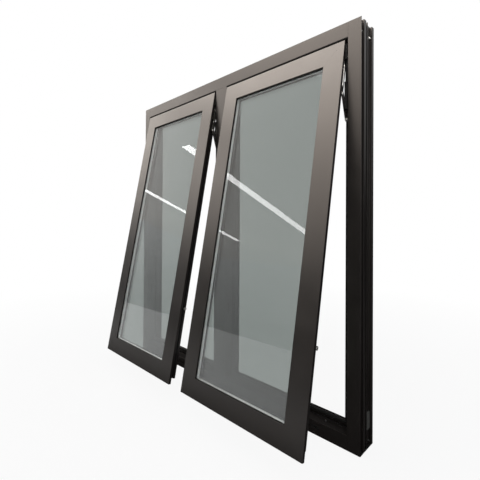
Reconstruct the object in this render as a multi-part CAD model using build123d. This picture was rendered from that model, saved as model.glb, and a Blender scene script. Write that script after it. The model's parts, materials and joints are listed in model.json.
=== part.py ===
from build123d import *
import math
import os

# Twin-light awning window of thermally broken aluminium, both top-hung sashes open.
# Millimetres, +Z up, the outdoor face looks along -Y.
# The origin is on the underside of the sill's rear foot, at mid-width.

# Fixed frame
FRAME_WIDTH = 1380.0
FRAME_HEIGHT = 1500.0
JAMB_FACE = 48.0
HEAD_FACE = 55.0
SILL_FACE = 52.0
MULLION_FACE = 74.0

# Frame extrusions, depth measured from the outdoor face
WALL = 2.0
FLANGE_THICKNESS = 2.0
OUTER_SHELL_DEPTH = 41.0
OUTER_SHELL_RECESS = 9.0
RIB_START = 24.0
RIB_SETBACK = 0.5
BREAK_WIDTH = 10.0
BREAK_THICKNESS = 2.0
INNER_SHELL_DEPTH = 54.0
INNER_SHELL_RECESS = 8.0
FIN_THICKNESS = 3.0
REAR_FOOT_DEPTH = 16.0
INNER_STEP = 6.0
SIDE_STOP_HEIGHT = 28.0
RAIL_STOP_HEIGHT = 22.0
STOP_THICKNESS = 6.0
REAR_LIP_HEIGHT = 4.0
REAR_LIP_THICKNESS = 3.0

# Weep slots through the sill's outdoor face, two under each light
WEEP_LENGTH = 26.0
WEEP_WIDTH = 5.0
WEEP_HEIGHT = 29.0
WEEP_END_DISTANCE = 122.0

# Rounded service slot through the jambs' outer wall
SERVICE_SLOT_LENGTH = 60.0
SERVICE_SLOT_WIDTH = 22.0
SERVICE_SLOT_HEIGHT = 92.0

# Seal on the stop round each light
SEAL_HEIGHT = 9.0
SEAL_PROJECTION = 7.0
SEAL_LEDGE_HEIGHT = 2.0
SEAL_LEDGE_PROJECTION = 3.0
SEAL_ROUNDING = 2.5

# Sashes, closed against the frame before they swing
SASH_JAMB_GAP = 9.6
SASH_MULLION_GAP = 5.6
SASH_TOP_GAP = 8.0
SASH_BOTTOM_GAP = 5.0
SASH_FACE = 76.0
SASH_DEPTH = 44.0
SASH_WALL = 2.0
SASH_EDGE_DEPTH = 11.5
SASH_BODY_INSET = 16.0
SASH_OUTER_DEPTH = 20.0
SASH_BREAK_WIDTH = 13.0
GLAZING_REBATE = 20.0
GLAZING_LIP = 3.0

# Open pose of the sashes
OPEN_ANGLE = 11.0
SASH_DROP = 8.0
SASH_THROW = 3.4

# Double glazing, from outdoors to indoors
GASKET_THICKNESS = 4.0
PANE_THICKNESS = 5.0
GLASS_CAVITY = 14.0
GLASS_EDGE_CLEARANCE = 4.0
GASKET_COVER = 11.0
SPACER_HEIGHT = 8.0
SPACER_SETBACK = 4.0
BEAD_WALL = 2.0
BEAD_JOINT = 0.3

# Friction stays
TRACK_LENGTH = 300.0
TRACK_WIDTH = 19.0
TRACK_HEIGHT = 4.5
TRACK_WALL = 1.2
TRACK_LIP = 3.0
TRACK_TOP_GAP = 14.0
STAY_PLATE = 2.5
ARM_WIDTH = 17.0
ARM_PACKER_WIDTH = 10.0
ARM_PACKER_HEIGHT = 5.0
ARM_DEPTH_ON_SASH = 32.0
SLIDER_DROP = 40.0
ELBOW_DROP = 186.0
STRUT_WIDTH = 16.0
STRUT_RISE = 85.0
STRUT_GAP = 1.0
SLIDER_LENGTH = 34.0
SLIDER_CLEARANCE = 0.3
PIVOT_RADIUS = 4.0

# Perimeter lock: rollers on the sash stiles, keepers in the frame
LOCK_DROP = 1055.0
ROLLER_RADIUS = 7.0
ROLLER_THICKNESS = 5.0
ROLLER_STEM_RADIUS = 3.0
ROLLER_STEM_LENGTH = 5.0
KEEPER_LENGTH = 52.0
KEEPER_WIDTH = 16.0
KEEPER_HEIGHT = 3.0
KEEPER_HOOK_HEIGHT = 9.0
KEEPER_HOOK_THICKNESS = 4.0
KEEPER_FRONT_GAP = 2.0

# Indoor handle on each bottom rail
HANDLE_BASE_LENGTH = 116.0
HANDLE_BASE_WIDTH = 28.0
HANDLE_BASE_HEIGHT = 9.0
HANDLE_BOSS_RADIUS = 13.0
HANDLE_BOSS_HEIGHT = 10.0
HANDLE_LEVER_LENGTH = 118.0
HANDLE_LEVER_WIDTH = 20.0
HANDLE_LEVER_TIP_WIDTH = 15.0
HANDLE_LEVER_THICKNESS = 9.0

# Places that follow from the sizes above
BREAK_START = OUTER_SHELL_DEPTH
INNER_START = BREAK_START + BREAK_WIDTH
FRAME_DEPTH = INNER_START + INNER_SHELL_DEPTH
STOP_BACK = INNER_START + STOP_THICKNESS
JAMB_STOP_TOP = JAMB_FACE + SIDE_STOP_HEIGHT
FOOT_START = FRAME_DEPTH - REAR_FOOT_DEPTH
FRONT_Y = -(FOOT_START + REAR_FOOT_DEPTH / 2)
HALF_WIDTH = FRAME_WIDTH / 2
HALF_MULLION = MULLION_FACE / 2
OPENING_WIDTH = HALF_WIDTH - JAMB_FACE - HALF_MULLION
OPENING_HEIGHT = FRAME_HEIGHT - HEAD_FACE - SILL_FACE
OPENING_CENTRE = HALF_MULLION + OPENING_WIDTH / 2
HEAD_UNDERSIDE = FRAME_HEIGHT - HEAD_FACE
SASH_WIDTH = OPENING_WIDTH - SASH_JAMB_GAP - SASH_MULLION_GAP
SASH_CENTRE = HALF_MULLION + SASH_MULLION_GAP + SASH_WIDTH / 2
SASH_BODY_HALF = SASH_WIDTH / 2 - SASH_BODY_INSET
SASH_HEIGHT = OPENING_HEIGHT - SASH_TOP_GAP - SASH_BOTTOM_GAP
SASH_INNER_START = SASH_OUTER_DEPTH + SASH_BREAK_WIDTH
POCKET_FLOOR = SASH_FACE - GLAZING_REBATE
GLASS_EDGE = POCKET_FLOOR + GLASS_EDGE_CLEARANCE
OUTER_PANE_START = GLAZING_LIP + GASKET_THICKNESS
CAVITY_START = OUTER_PANE_START + PANE_THICKNESS
INNER_PANE_START = CAVITY_START + GLASS_CAVITY
INNER_GASKET_START = INNER_PANE_START + PANE_THICKNESS
BEAD_START = INNER_GASKET_START + GASKET_THICKNESS
SIN_OPEN = math.sin(math.radians(OPEN_ANGLE))
COS_OPEN = math.cos(math.radians(OPEN_ANGLE))

SIDES = {"left": -1, "right": 1}
DEPTHWISE = (0, 1, 0)


def outline(*points):
    """Flat face bounded by straight edges through the points."""
    return make_face(Polyline(*points, close=True))


def frame_plane(origin, along):
    """Section plane of a member: x runs with depth, y points in towards the light, z runs along it."""
    return Plane(origin=origin, x_dir=DEPTHWISE, z_dir=along)


def save(node, *solids):
    """Write one node as a STEP file holding its separate solids."""
    shape = solids[0] if len(solids) == 1 else Compound(children=list(solids))
    export_step(shape, os.path.join("parts", node + ".step"))


# Frame sections, drawn with depth along x and the distance in from the frame's edge along y
def outer_shell_section(face):
    """Outdoor chamber with its nailing flange and the rib beside the thermal break."""
    skin = outline(
        (0, 0),
        (FLANGE_THICKNESS, 0),
        (FLANGE_THICKNESS, OUTER_SHELL_RECESS),
        (RIB_START, OUTER_SHELL_RECESS),
        (RIB_START, RIB_SETBACK),
        (OUTER_SHELL_DEPTH, RIB_SETBACK),
        (OUTER_SHELL_DEPTH, face),
        (0, face),
    )
    chamber = outline(
        (FLANGE_THICKNESS, OUTER_SHELL_RECESS + WALL),
        (RIB_START + WALL, OUTER_SHELL_RECESS + WALL),
        (RIB_START + WALL, RIB_SETBACK + WALL),
        (OUTER_SHELL_DEPTH - WALL, RIB_SETBACK + WALL),
        (OUTER_SHELL_DEPTH - WALL, face - WALL),
        (FLANGE_THICKNESS, face - WALL),
    )
    return skin - chamber


def inner_shell_skin(face, stop_top):
    """Outside of the indoor chamber: fin, rear foot, rear lip and the upstand that stops the sash."""
    floor = face - INNER_STEP
    return outline(
        (INNER_START, RIB_SETBACK),
        (INNER_START + FIN_THICKNESS, RIB_SETBACK),
        (INNER_START + FIN_THICKNESS, INNER_SHELL_RECESS),
        (FOOT_START, INNER_SHELL_RECESS),
        (FOOT_START, 0),
        (FRAME_DEPTH, 0),
        (FRAME_DEPTH, floor + REAR_LIP_HEIGHT),
        (FRAME_DEPTH - REAR_LIP_THICKNESS, floor + REAR_LIP_HEIGHT),
        (FRAME_DEPTH - REAR_LIP_THICKNESS, floor),
        (STOP_BACK, floor),
        (STOP_BACK, stop_top),
        *seal_seat(stop_top),
    )


def seal_seat(stop_top):
    """Outdoor side of a stop from its top down: the seal's seat and the ledge under it."""
    ledge_top = stop_top - SEAL_HEIGHT
    ledge_foot = ledge_top - SEAL_LEDGE_HEIGHT
    return [
        (INNER_START, stop_top),
        (INNER_START, ledge_top),
        (INNER_START - SEAL_LEDGE_PROJECTION, ledge_top),
        (INNER_START - SEAL_LEDGE_PROJECTION, ledge_foot),
        (INNER_START, ledge_foot),
    ]


def inner_shell_envelope(face, stop_top):
    """Room that an indoor chamber takes, up to the front of its seal ledge."""
    ledge_top = stop_top - SEAL_HEIGHT
    corner = Pos(INNER_START, 0)
    ledge_room = corner * Rectangle(SEAL_LEDGE_PROJECTION, ledge_top, align=(Align.MAX, Align.MIN))
    return inner_shell_skin(face, stop_top) + ledge_room


def inner_shell_section(face, stop_top):
    """Indoor chamber with its hollow."""
    chamber = outline(
        (INNER_START + WALL, INNER_SHELL_RECESS + WALL),
        (FOOT_START + WALL, INNER_SHELL_RECESS + WALL),
        (FOOT_START + WALL, WALL),
        (FRAME_DEPTH - WALL, WALL),
        (FRAME_DEPTH - WALL, face - INNER_STEP - WALL),
        (INNER_START + WALL, face - INNER_STEP - WALL),
    )
    return inner_shell_skin(face, stop_top) - chamber


def break_section(edge_distances):
    """Pair of polyamide bars bridging the outdoor and indoor chambers."""
    bar = Rectangle(BREAK_WIDTH, BREAK_THICKNESS, align=(Align.MIN, Align.MIN))
    return [Pos(BREAK_START, distance) * bar for distance in edge_distances]


def edge_break_distances(face):
    """Where the two bars of a perimeter member lie."""
    return (OUTER_SHELL_RECESS + WALL, face - WALL - BREAK_THICKNESS)


def mullion_outer_section():
    """Outdoor chamber of the mullion."""
    skin = Pos(OUTER_SHELL_DEPTH / 2, 0) * Rectangle(OUTER_SHELL_DEPTH, MULLION_FACE)
    chamber = Pos(OUTER_SHELL_DEPTH / 2, 0) * Rectangle(OUTER_SHELL_DEPTH - 2 * WALL, MULLION_FACE - 2 * WALL)
    return skin - chamber


def mullion_inner_section():
    """Indoor chamber of the mullion, with a stop and a rear lip on both sides."""
    floor = HALF_MULLION - INNER_STEP
    stop_top = HALF_MULLION + SIDE_STOP_HEIGHT
    half = outline(
        (INNER_START, 0),
        (FRAME_DEPTH, 0),
        (FRAME_DEPTH, floor + REAR_LIP_HEIGHT),
        (FRAME_DEPTH - REAR_LIP_THICKNESS, floor + REAR_LIP_HEIGHT),
        (FRAME_DEPTH - REAR_LIP_THICKNESS, floor),
        (STOP_BACK, floor),
        (STOP_BACK, stop_top),
        *seal_seat(stop_top),
    )
    skin = half + mirror(half, about=Plane.XZ)
    chamber_depth = INNER_SHELL_DEPTH - 2 * WALL
    chamber = Pos(INNER_START + INNER_SHELL_DEPTH / 2, 0) * Rectangle(chamber_depth, 2 * (floor - WALL))
    return skin - chamber


# Members of the fixed frame
def jamb_plane(side, bottom=0.0, top=FRAME_HEIGHT):
    """Section plane at the foot of the right jamb or the top of the left one."""
    if side > 0:
        return frame_plane((HALF_WIDTH, FRONT_Y, bottom), (0, 0, 1))
    return frame_plane((-HALF_WIDTH, FRONT_Y, top), (0, 0, -1))


def rail_plane(is_head, half_length):
    """Section plane at one end of the head or the sill."""
    if is_head:
        return frame_plane((half_length, FRONT_Y, FRAME_HEIGHT), (-1, 0, 0))
    return frame_plane((-half_length, FRONT_Y, 0), (1, 0, 0))


def mullion_plane(bottom):
    """Section plane at the foot of the mullion, centred on it."""
    return frame_plane((0, FRONT_Y, bottom), (0, 0, 1))


def service_slot(side):
    """Cutter for the rounded slot near the foot of a jamb."""
    depth = (INNER_START + FOOT_START) / 2
    place = Plane(
        origin=(side * HALF_WIDTH, FRONT_Y + depth, SERVICE_SLOT_HEIGHT),
        x_dir=(0, 0, 1),
        z_dir=(-side, 0, 0),
    )
    slot = SlotOverall(SERVICE_SLOT_LENGTH, SERVICE_SLOT_WIDTH)
    return extrude(place * slot, INNER_SHELL_RECESS + 2 * WALL)


def weep_slots():
    """Cutter for the weep slots in the sill's outdoor face."""
    reach = OPENING_WIDTH / 2 - WEEP_END_DISTANCE
    slot = SlotOverall(WEEP_LENGTH, WEEP_WIDTH)
    slots = []
    for light in SIDES.values():
        for hand in SIDES.values():
            middle = light * OPENING_CENTRE + hand * reach
            place = Plane(origin=(middle, FRONT_Y, WEEP_HEIGHT), x_dir=(1, 0, 0), z_dir=DEPTHWISE)
            slots.append(extrude(place * slot, FLANGE_THICKNESS))
    return slots


def ledge_notch(width, low, high):
    """Cutter that takes the seal ledge off where another member's bars pass."""
    room = Box(width, SEAL_LEDGE_PROJECTION, high - low, align=(Align.CENTER, Align.MAX, Align.MIN))
    return Pos(0, FRONT_Y + INNER_START, low) * room


def build_frame():
    """Jambs run full height, the head and sill fit between them, and the mullion between those."""
    jamb_envelopes = []
    rail_notches = [
        ledge_notch(FRAME_WIDTH, 0, SILL_FACE),
        ledge_notch(FRAME_WIDTH, HEAD_UNDERSIDE, FRAME_HEIGHT),
    ]
    for name, side in SIDES.items():
        plane = jamb_plane(side)
        save(name + "_jamb_outer", extrude(plane * outer_shell_section(JAMB_FACE), FRAME_HEIGHT))
        inner = extrude(plane * inner_shell_section(JAMB_FACE, JAMB_STOP_TOP), FRAME_HEIGHT)
        save(name + "_jamb_inner", inner - service_slot(side) - rail_notches)
        jamb_envelopes.append(extrude(plane * inner_shell_envelope(JAMB_FACE, JAMB_STOP_TOP), FRAME_HEIGHT))

    outer_half = HALF_WIDTH - JAMB_FACE
    inner_half = outer_half + INNER_STEP
    rail_envelopes = []
    for name, is_head, face in (("head", True, HEAD_FACE), ("sill", False, SILL_FACE)):
        stop_top = face + RAIL_STOP_HEIGHT
        outer = extrude(rail_plane(is_head, outer_half) * outer_shell_section(face), 2 * outer_half)
        save(name + "_outer", outer if is_head else outer - weep_slots())
        plane = rail_plane(is_head, inner_half)
        inner = extrude(plane * inner_shell_section(face, stop_top), 2 * inner_half)
        for envelope in jamb_envelopes:
            inner = inner - envelope
        save(name + "_inner", inner - ledge_notch(MULLION_FACE, 0, FRAME_HEIGHT))
        rail_envelopes.append(extrude(plane * inner_shell_envelope(face, stop_top), 2 * inner_half))

    mullion_outer = extrude(mullion_plane(SILL_FACE) * mullion_outer_section(), OPENING_HEIGHT)
    save("mullion_outer", mullion_outer)
    inner_foot = SILL_FACE - INNER_STEP
    inner_length = OPENING_HEIGHT + 2 * INNER_STEP
    mullion_inner = extrude(mullion_plane(inner_foot) * mullion_inner_section(), inner_length)
    for envelope in rail_envelopes:
        mullion_inner = mullion_inner - envelope
    save("mullion_inner", mullion_inner)


def build_frame_breaks():
    """Polyamide bars of all five members."""
    bars = []
    for side in SIDES.values():
        for section in break_section(edge_break_distances(JAMB_FACE)):
            bars.append(extrude(jamb_plane(side) * section, FRAME_HEIGHT))
    half = HALF_WIDTH - JAMB_FACE
    for is_head, face in ((True, HEAD_FACE), (False, SILL_FACE)):
        for section in break_section(edge_break_distances(face)):
            bars.append(extrude(rail_plane(is_head, half) * section, 2 * half))
    reach = HALF_MULLION - WALL
    for section in break_section((-reach, reach - BREAK_THICKNESS)):
        bars.append(extrude(mullion_plane(SILL_FACE) * section, OPENING_HEIGHT))
    save("frame_thermal_break", *bars)


def ring(outer_width, outer_height, bar, start, depth):
    """Rectangular ring in the plane of the window, from one depth to the next."""
    section = Rectangle(outer_width, outer_height) - Rectangle(outer_width - 2 * bar, outer_height - 2 * bar)
    face = Plane(origin=(0, start, 0), x_dir=(1, 0, 0), z_dir=(0, 1, 0)) * section
    return extrude(face, depth)


def build_light_seals():
    """Rubber seal on the outdoor side of the stop, one closed ring round each light."""
    width = OPENING_WIDTH - 2 * (SIDE_STOP_HEIGHT - SEAL_HEIGHT)
    height = OPENING_HEIGHT - 2 * (RAIL_STOP_HEIGHT - SEAL_HEIGHT)
    middle = SILL_FACE + OPENING_HEIGHT / 2
    start = FRONT_Y + INNER_START - SEAL_PROJECTION
    for name, side in SIDES.items():
        seal = ring(width, height, SEAL_HEIGHT, start, SEAL_PROJECTION)
        front = seal.faces().sort_by(Axis.Y)[0]
        seal = fillet(front.edges(), SEAL_ROUNDING)
        save(name + "_light_seal", Pos(side * OPENING_CENTRE, 0, middle) * seal)


# Sashes are drawn shut, with their top outdoor edge on the x axis, depth along y and the sash hanging down z
def open_pose(side):
    """Carries a sash from its drawing place to where it hangs open."""
    hang = Pos(side * SASH_CENTRE, FRONT_Y - SASH_THROW, HEAD_UNDERSIDE - SASH_DROP)
    return hang * Rot(X=-OPEN_ANGLE)


def sash_member_planes():
    """Section plane and length of each sash member, keyed by its name."""
    half = SASH_WIDTH / 2
    return {
        "top_rail": (frame_plane((half, 0, 0), (-1, 0, 0)), SASH_WIDTH),
        "bottom_rail": (frame_plane((-half, 0, -SASH_HEIGHT), (1, 0, 0)), SASH_WIDTH),
        "left_stile": (frame_plane((-half, 0, 0), (0, 0, -1)), SASH_HEIGHT),
        "right_stile": (frame_plane((half, 0, -SASH_HEIGHT), (0, 0, 1)), SASH_HEIGHT),
    }


def sash_outer_section():
    """Outdoor chamber of a sash member with its edge flange and the lip in front of the glass."""
    skin = outline(
        (0, 0),
        (SASH_EDGE_DEPTH, 0),
        (SASH_EDGE_DEPTH, SASH_BODY_INSET),
        (SASH_OUTER_DEPTH, SASH_BODY_INSET),
        (SASH_OUTER_DEPTH, POCKET_FLOOR),
        (GLAZING_LIP, POCKET_FLOOR),
        (GLAZING_LIP, SASH_FACE),
        (0, SASH_FACE),
    )
    chamber = outline(
        (SASH_WALL, SASH_WALL),
        (SASH_EDGE_DEPTH - SASH_WALL, SASH_WALL),
        (SASH_EDGE_DEPTH - SASH_WALL, SASH_BODY_INSET + SASH_WALL),
        (SASH_OUTER_DEPTH - SASH_WALL, SASH_BODY_INSET + SASH_WALL),
        (SASH_OUTER_DEPTH - SASH_WALL, POCKET_FLOOR - SASH_WALL),
        (SASH_WALL, POCKET_FLOOR - SASH_WALL),
    )
    return skin - chamber


def sash_inner_section():
    """Indoor chamber of a sash member."""
    depth = SASH_DEPTH - SASH_INNER_START
    height = POCKET_FLOOR - SASH_BODY_INSET
    middle = Pos(SASH_INNER_START + depth / 2, SASH_BODY_INSET + height / 2)
    return middle * (Rectangle(depth, height) - Rectangle(depth - 2 * SASH_WALL, height - 2 * SASH_WALL))


def sash_break_sections():
    """Polyamide bars between the two chambers of a sash member."""
    distances = (SASH_BODY_INSET + SASH_WALL, POCKET_FLOOR - SASH_WALL - BREAK_THICKNESS)
    bar = Rectangle(SASH_BREAK_WIDTH, BREAK_THICKNESS, align=(Align.MIN, Align.MIN))
    return [Pos(SASH_OUTER_DEPTH, distance) * bar for distance in distances]


def mitred(section, plane, length, end_gap=0.0):
    """Bar along a sash edge with both ends cut at 45 degrees, each held back by the end gap."""
    bar = extrude(section, length)
    reach = SASH_FACE
    wedge = outline(
        (0, end_gap),
        (reach, reach + end_gap),
        (reach, length - reach - end_gap),
        (0, length - end_gap),
    )
    cutter = extrude(Plane.YZ * wedge, SASH_DEPTH)
    return plane.location * (bar & cutter)


def build_sash_members(name, pose):
    """Four mitred members, each an outdoor and an indoor chamber, and the bars between them."""
    bars = []
    for member, (plane, length) in sash_member_planes().items():
        outer = mitred(sash_outer_section(), plane, length)
        inner = mitred(sash_inner_section(), plane, length)
        save(name + "_sash_" + member, pose * outer, pose * inner)
        for section in sash_break_sections():
            bars.append(pose * mitred(section, plane, length, end_gap=BEAD_JOINT))
    save(name + "_sash_thermal_break", *bars)


def build_glazing(name, pose):
    """Two panes with their spacer, gaskets on both faces, and the beads that hold them from indoors."""
    glass_width = SASH_WIDTH - 2 * GLASS_EDGE
    glass_height = SASH_HEIGHT - 2 * GLASS_EDGE
    middle = pose * Pos(0, 0, -SASH_HEIGHT / 2)
    for pane, start in (("outer_pane", OUTER_PANE_START), ("inner_pane", INNER_PANE_START)):
        sheet = Box(glass_width, PANE_THICKNESS, glass_height, align=(Align.CENTER, Align.MIN, Align.CENTER))
        save(name + "_" + pane, middle * Pos(0, start, 0) * sheet)

    spacer_width = glass_width - 2 * SPACER_SETBACK
    spacer_height = glass_height - 2 * SPACER_SETBACK
    spacer = ring(spacer_width, spacer_height, SPACER_HEIGHT, CAVITY_START, GLASS_CAVITY)
    save(name + "_spacer", middle * spacer)

    sight_width = SASH_WIDTH - 2 * SASH_FACE
    sight_height = SASH_HEIGHT - 2 * SASH_FACE
    gasket_width = sight_width + 2 * GASKET_COVER
    gasket_height = sight_height + 2 * GASKET_COVER
    gaskets = [
        middle * ring(gasket_width, gasket_height, GASKET_COVER, start, GASKET_THICKNESS)
        for start in (GLAZING_LIP, INNER_GASKET_START)
    ]
    save(name + "_glazing_gaskets", *gaskets)
    save(name + "_glazing_beads", *[pose * bead for bead in glazing_beads()])


def bead_section():
    """Hollow snap-in bead, sloped on its indoor corner."""
    slope = GASKET_THICKNESS
    skin = outline(
        (BEAD_START, POCKET_FLOOR),
        (SASH_DEPTH, POCKET_FLOOR),
        (SASH_DEPTH, SASH_FACE - slope),
        (SASH_DEPTH - slope, SASH_FACE),
        (BEAD_START, SASH_FACE),
    )
    chamber = outline(
        (BEAD_START + BEAD_WALL, POCKET_FLOOR + BEAD_WALL),
        (SASH_DEPTH - BEAD_WALL, POCKET_FLOOR + BEAD_WALL),
        (SASH_DEPTH - BEAD_WALL, SASH_FACE - slope - BEAD_WALL),
        (SASH_DEPTH - slope - BEAD_WALL, SASH_FACE - BEAD_WALL),
        (BEAD_START + BEAD_WALL, SASH_FACE - BEAD_WALL),
    )
    return skin - chamber


def glazing_beads():
    """Four beads with mitred ends and a hairline joint at each corner."""
    return [
        mitred(bead_section(), plane, length, end_gap=BEAD_JOINT)
        for plane, length in sash_member_planes().values()
    ]


# Friction stays, drawn for the side of the light that lies at the given hand
def on_sash(drop, depth):
    """Depth behind the frame's outdoor face and height of a point on the hanging sash."""
    return (
        -SASH_THROW - drop * SIN_OPEN + depth * COS_OPEN,
        HEAD_UNDERSIDE - SASH_DROP - drop * COS_OPEN - depth * SIN_OPEN,
    )


def build_stays(name, light):
    """Track on the frame, arm on the sash and the strut that links them, on both sides of a light."""
    tracks = []
    arms = []
    struts = []
    slider_depth, slider_height = on_sash(SLIDER_DROP, ARM_DEPTH_ON_SASH)
    elbow_depth, elbow_height = on_sash(ELBOW_DROP, ARM_DEPTH_ON_SASH)
    foot_height = elbow_height - STRUT_RISE
    track_top = HEAD_UNDERSIDE - TRACK_TOP_GAP
    for hand in SIDES.values():
        rebate_x = light * OPENING_CENTRE + hand * OPENING_WIDTH / 2
        body_x = light * SASH_CENTRE + hand * SASH_BODY_HALF
        arm_face = body_x + hand * (ARM_PACKER_HEIGHT + STAY_PLATE)
        tracks.append(stay_track(hand, rebate_x, slider_depth, track_top))
        arms.append(stay_arm(hand, light, arm_face, rebate_x, slider_depth, slider_height))
        struts.append(
            stay_strut(hand, arm_face, rebate_x, (elbow_depth, elbow_height), (slider_depth, foot_height))
        )
    save(name + "_stay_tracks", *tracks)
    save(name + "_stay_arms", *arms)
    save(name + "_stay_struts", *struts)


def stay_track(hand, rebate_x, depth, top):
    """Channel with turned-in lips, fixed to the rebate."""
    half = TRACK_WIDTH / 2
    skin = Rectangle(TRACK_WIDTH, TRACK_HEIGHT, align=(Align.CENTER, Align.MIN))
    hollow_height = TRACK_HEIGHT - 2 * TRACK_WALL
    hollow = Pos(0, TRACK_WALL) * Rectangle(
        TRACK_WIDTH - 2 * TRACK_WALL, hollow_height, align=(Align.CENTER, Align.MIN)
    )
    mouth = Pos(0, TRACK_WALL) * Rectangle(
        2 * (half - TRACK_WALL - TRACK_LIP), TRACK_HEIGHT, align=(Align.CENTER, Align.MIN)
    )
    section = skin - hollow - mouth
    place = Plane(origin=(rebate_x, FRONT_Y + depth, top), x_dir=(0, -hand, 0), z_dir=(0, 0, -1))
    return extrude(place * section, TRACK_LENGTH)


def stay_arm(hand, light, arm_face, rebate_x, slider_depth, slider_height):
    """Arm on its packer on the sash, with the slider that runs in the track riveted to its top end."""
    length = ELBOW_DROP - SLIDER_DROP
    middle = SLIDER_DROP + length / 2
    place = Plane(
        origin=(hand * SASH_BODY_HALF, ARM_DEPTH_ON_SASH, -middle),
        x_dir=(0, 0, 1),
        z_dir=(hand, 0, 0),
    )
    packer = extrude(place * SlotCenterToCenter(length, ARM_PACKER_WIDTH), ARM_PACKER_HEIGHT)
    bar = extrude(place.offset(ARM_PACKER_HEIGHT) * SlotCenterToCenter(length, ARM_WIDTH), STAY_PLATE)
    plate = open_pose(light) * (packer + bar)
    shoe_base = rebate_x - hand * (TRACK_WALL + SLIDER_CLEARANCE)
    reach = abs(shoe_base - arm_face)
    slot_place = Plane(
        origin=(arm_face, FRONT_Y + slider_depth, slider_height), x_dir=(0, 0, 1), z_dir=(hand, 0, 0)
    )
    pin = extrude(slot_place * Circle(PIVOT_RADIUS), reach)
    shoe_height = TRACK_HEIGHT - 2 * TRACK_WALL - 2 * SLIDER_CLEARANCE
    shoe_width = TRACK_WIDTH - 2 * TRACK_WALL - 2 * SLIDER_CLEARANCE
    shoe_section = slot_place.offset(reach - shoe_height) * Rectangle(SLIDER_LENGTH, shoe_width)
    return plate + pin + extrude(shoe_section, shoe_height)


def stay_strut(hand, arm_face, rebate_x, elbow, foot):
    """Strut from the elbow on the arm to its fixed pivot on the track."""
    rise = math.hypot(elbow[0] - foot[0], elbow[1] - foot[1])
    middle = ((elbow[0] + foot[0]) / 2, (elbow[1] + foot[1]) / 2)
    up = ((elbow[0] - foot[0]) / rise, (elbow[1] - foot[1]) / rise)
    start = arm_face + hand * STRUT_GAP
    place = Plane(origin=(start, FRONT_Y + middle[0], middle[1]), x_dir=(0, up[0], up[1]), z_dir=(hand, 0, 0))
    plate = extrude(place * SlotCenterToCenter(rise, STRUT_WIDTH), STAY_PLATE)
    elbow_place = Plane(origin=(start, FRONT_Y + elbow[0], elbow[1]), x_dir=(0, 0, 1), z_dir=(-hand, 0, 0))
    foot_start = start + hand * STAY_PLATE
    foot_place = Plane(origin=(foot_start, FRONT_Y + foot[0], foot[1]), x_dir=(0, 0, 1), z_dir=(hand, 0, 0))
    track_base = rebate_x - hand * TRACK_WALL
    elbow_pin = extrude(elbow_place * Circle(PIVOT_RADIUS), STRUT_GAP)
    foot_pin = extrude(foot_place * Circle(PIVOT_RADIUS), abs(track_base - foot_start))
    return plate + elbow_pin + foot_pin


# Perimeter lock
def build_lock():
    """Mushroom rollers on the stiles and the hooked keepers that they turn behind."""
    rollers = []
    keepers = []
    keeper_height = HEAD_UNDERSIDE - SASH_TOP_GAP - LOCK_DROP
    for light in SIDES.values():
        for hand in SIDES.values():
            place = Plane(
                origin=(hand * SASH_BODY_HALF, ARM_DEPTH_ON_SASH, -LOCK_DROP),
                x_dir=(0, 0, 1),
                z_dir=(hand, 0, 0),
            )
            stem = extrude(place * Circle(ROLLER_STEM_RADIUS), ROLLER_STEM_LENGTH)
            head = extrude(place.offset(ROLLER_STEM_LENGTH) * Circle(ROLLER_RADIUS), ROLLER_THICKNESS)
            rollers.append(open_pose(light) * (stem + head))
            rebate_x = light * OPENING_CENTRE + hand * OPENING_WIDTH / 2
            keepers.append(lock_keeper(hand, rebate_x, keeper_height))
    save("lock_rollers", *rollers)
    save("lock_keepers", *keepers)


def lock_keeper(hand, rebate_x, height):
    """Plate on the rebate with a hook along its outdoor edge."""
    section = outline(
        (0, 0),
        (KEEPER_WIDTH, 0),
        (KEEPER_WIDTH, KEEPER_HEIGHT),
        (KEEPER_HOOK_THICKNESS, KEEPER_HEIGHT),
        (KEEPER_HOOK_THICKNESS, KEEPER_HOOK_HEIGHT),
        (0, KEEPER_HOOK_HEIGHT),
    )
    foot = height - hand * KEEPER_LENGTH / 2
    depth = OUTER_SHELL_DEPTH - KEEPER_FRONT_GAP - KEEPER_WIDTH
    place = frame_plane((rebate_x, FRONT_Y + depth, foot), (0, 0, hand))
    return extrude(place * section, KEEPER_LENGTH)


# Indoor handles
def build_handle(name, pose):
    """Cam handle at the middle of the bottom rail: fixed base and a tapered lever lying along it."""
    height = -SASH_HEIGHT + (SASH_BODY_INSET + POCKET_FLOOR) / 2
    place = Plane(origin=(0, SASH_DEPTH, height), x_dir=(-1, 0, 0), z_dir=(0, 1, 0))
    base = extrude(place * SlotOverall(HANDLE_BASE_LENGTH, HANDLE_BASE_WIDTH), HANDLE_BASE_HEIGHT)
    save(name + "_handle_base", pose * base)

    top = place.offset(HANDLE_BASE_HEIGHT)
    boss = extrude(top * Circle(HANDLE_BOSS_RADIUS), HANDLE_BOSS_HEIGHT)
    grip = outline(
        (0, -HANDLE_LEVER_WIDTH / 2),
        (HANDLE_LEVER_LENGTH, -HANDLE_LEVER_TIP_WIDTH / 2),
        (HANDLE_LEVER_LENGTH, HANDLE_LEVER_TIP_WIDTH / 2),
        (0, HANDLE_LEVER_WIDTH / 2),
    )
    lever_section = grip + Circle(HANDLE_BOSS_RADIUS)
    lever = extrude(top.offset(HANDLE_BOSS_HEIGHT) * lever_section, HANDLE_LEVER_THICKNESS)
    save(name + "_handle_lever", pose * (boss + lever))


os.makedirs("parts", exist_ok=True)
build_frame()
build_frame_breaks()
build_light_seals()
build_lock()
for sash_name, sash_side in SIDES.items():
    sash_pose = open_pose(sash_side)
    build_sash_members(sash_name, sash_pose)
    build_glazing(sash_name, sash_pose)
    build_stays(sash_name, sash_side)
    build_handle(sash_name, sash_pose)
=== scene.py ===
import json
import math

import bmesh
import bpy
from mathutils import Matrix, Vector


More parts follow.
